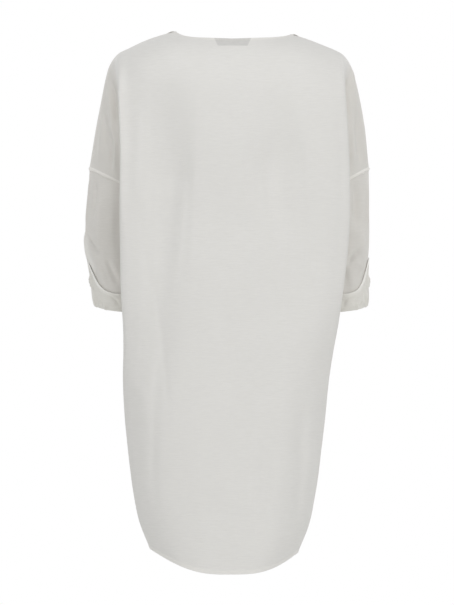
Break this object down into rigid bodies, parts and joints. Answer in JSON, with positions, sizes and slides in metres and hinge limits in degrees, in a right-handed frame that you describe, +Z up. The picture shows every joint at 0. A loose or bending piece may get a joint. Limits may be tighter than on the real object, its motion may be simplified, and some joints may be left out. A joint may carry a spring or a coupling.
{
  "type": "v-neck shirt",
  "caption": "Long loose v-neck shirt with dropped three-quarter sleeves, turned-up cuffs, side slits and a rounded hem, held open as worn.",
  "frame": {"origin": "on the centre plane at the height of the side neck points, where the wearer's shoulders carry the shirt", "axes": "+Z up along the body, +Y towards the back, -Y towards the front with the V neckline, +X towards the wearer's left"},
  "size_m": [0.512, 0.2523, 0.9619],
  "materials": {
    "back_cloth": "off-white crepe-like cloth, matt",
    "front_cloth": "off-white crepe-like cloth, matt",
    "sleeve_cloth": "off-white crepe-like cloth, matt",
    "cuff_cloth": "off-white crepe-like cloth, two layers, matt",
    "label_cloth": "blank woven tape, matt"
  },
  "bodies": {
    "root": {"back": "back_cloth", "front": "front_cloth", "sleeve_left": "sleeve_cloth", "sleeve_right": "sleeve_cloth", "cuff_left": "cuff_cloth", "cuff_right": "cuff_cloth", "neck_label": "label_cloth"}
  },
  "joints": []
}
